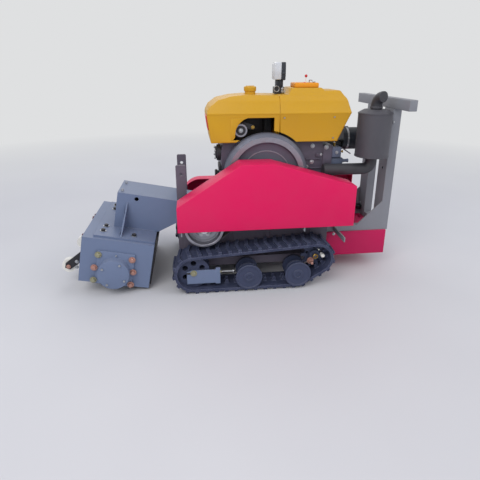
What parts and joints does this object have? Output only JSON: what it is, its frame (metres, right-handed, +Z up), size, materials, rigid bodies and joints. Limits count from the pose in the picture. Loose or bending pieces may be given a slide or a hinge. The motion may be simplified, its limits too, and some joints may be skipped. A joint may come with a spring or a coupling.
{
  "type": "cold planer milling machine",
  "caption": "Compact crawler road milling machine: rubber tracks, a single-cylinder diesel with a flywheel, belt guards, and a hinged front arm that carries a toothed milling drum.",
  "frame": {"origin": "on the floor under the middle of the machine's box", "axes": "+X forward towards the milling head, +Y to the machine's left, +Z up"},
  "size_m": [2.1444, 0.86, 1.345],
  "materials": {
    "frame_paint": "satin",
    "head_paint": "satin",
    "rear_paint": "satin",
    "guard_paint": "gloss",
    "hood_paint": "gloss",
    "lid_paint": "gloss",
    "casting": "painted",
    "pulley_iron": "machined",
    "bright_steel": "ground",
    "plain_steel": "mill finish",
    "tool_steel": "worn",
    "black_paint": "matt",
    "exhaust_paint": "matt heat-resistant",
    "track_rubber": "moulded",
    "belt_rubber": "moulded",
    "white_nylon": "turned",
    "lamp_lens": "clear",
    "black_plastic": "moulded"
  },
  "bodies": {
    "chassis": {"main_frame": "frame_paint", "front_cheeks": "frame_paint", "front_masts": "frame_paint", "rear_deck": "rear_paint", "rear_posts": "rear_paint", "rear_crossbar": "rear_paint", "rear_tank": "guard_paint", "belt_guard_left": "guard_paint", "belt_guard_right": "guard_paint", "guard_brackets": "rear_paint", "drive_belts": "belt_rubber", "pump_belt": "belt_rubber", "crankcase": "casting", "cylinder_block": "casting", "injection_pump": "casting", "hood_front": "hood_paint", "hood_rear": "hood_paint", "fuel_cap": "hood_paint", "radiator_lid": "lid_paint", "radiator_core": "black_paint", "dynamo": "black_paint", "air_cleaner": "black_plastic", "exhaust_pipe": "exhaust_paint", "muffler": "exhaust_paint", "tail_pipe": "exhaust_paint", "lamp_stand": "black_paint", "work_lamp": "lamp_lens", "hydraulic_pump": "casting", "track_left": "track_rubber", "track_right": "track_rubber", "track_beams": "frame_paint", "idlers": "black_paint", "sprockets": "black_paint", "track_rollers": "black_paint", "tensioners": "rear_paint", "drive_motors": "casting"},
    "flywheel": {"flywheel": "pulley_iron"},
    "countershaft": {"front_pulley": "pulley_iron", "cross_shaft": "bright_steel"},
    "pump_rotor": {"pump_pulley": "pulley_iron"},
    "head": {"arm_sides": "head_paint", "arm_plates": "head_paint", "arm_gussets": "head_paint", "mount_flange": "head_paint", "drum_housing": "head_paint", "drum_bearings": "head_paint", "rear_scraper": "black_paint", "wheel_arms": "black_paint"},
    "drum": {"milling_drum": "tool_steel", "cutting_picks": "tool_steel"},
    "wheel_left": {"depth_wheel_left": "white_nylon"},
    "wheel_right": {"depth_wheel_right": "white_nylon"},
    "lift_cylinder": {"lift_barrel": "black_paint"},
    "lift_rod": {"lift_rod": "bright_steel"}
  },
  "joints": [
    {"name": "flywheel_turn", "type": "hinge", "parent": "chassis", "child": "flywheel", "pos_m": [-0.224, 0, 0.68], "axis": [0, 1, 0], "continuous": true},
    {"name": "countershaft_turn", "type": "hinge", "parent": "chassis", "child": "countershaft", "pos_m": [0.173, 0, 0.401], "axis": [0, 1, 0], "continuous": true},
    {"name": "pump_turn", "type": "hinge", "parent": "chassis", "child": "pump_rotor", "pos_m": [-0.87, 0, 0.44], "axis": [0, 1, 0], "continuous": true},
    {"name": "head_lift", "type": "hinge", "parent": "chassis", "child": "head", "pos_m": [0.173, 0, 0.401], "axis": [0, -1, 0], "range_deg": [-9, 18]},
    {"name": "drum_turn", "type": "hinge", "parent": "head", "child": "drum", "pos_m": [0.72252, 0, 0.14719], "axis": [0, 1, 0], "continuous": true},
    {"name": "wheel_left_turn", "type": "hinge", "parent": "head", "child": "wheel_left", "pos_m": [1.02838, 0, 0.13024], "axis": [0, 1, 0], "continuous": true},
    {"name": "wheel_right_turn", "type": "hinge", "parent": "head", "child": "wheel_right", "pos_m": [1.02838, 0, 0.13024], "axis": [0, 1, 0], "continuous": true},
    {"name": "lift_swing", "type": "hinge", "parent": "chassis", "child": "lift_cylinder", "pos_m": [0.133, 0, 0.176], "axis": [0, -1, 0], "range_deg": [-5, 9.5]},
    {"name": "lift_extend", "type": "slide", "parent": "lift_cylinder", "child": "lift_rod", "axis": [0.8197, 0, 0.5729], "range_m": [-0.03, 0.055]}
  ],
  "couplings": [
    {"joint": "countershaft_turn", "follows": "flywheel_turn", "ratio": 0.67227},
    {"joint": "pump_turn", "follows": "flywheel_turn", "ratio": 0.75783},
    {"joint": "drum_turn", "follows": "flywheel_turn", "ratio": 0.39409},
    {"joint": "lift_swing", "follows": "head_lift", "ratio": 0.496},
    {"joint": "lift_extend", "follows": "head_lift", "m_per_rad": 0.153}
  ]
}
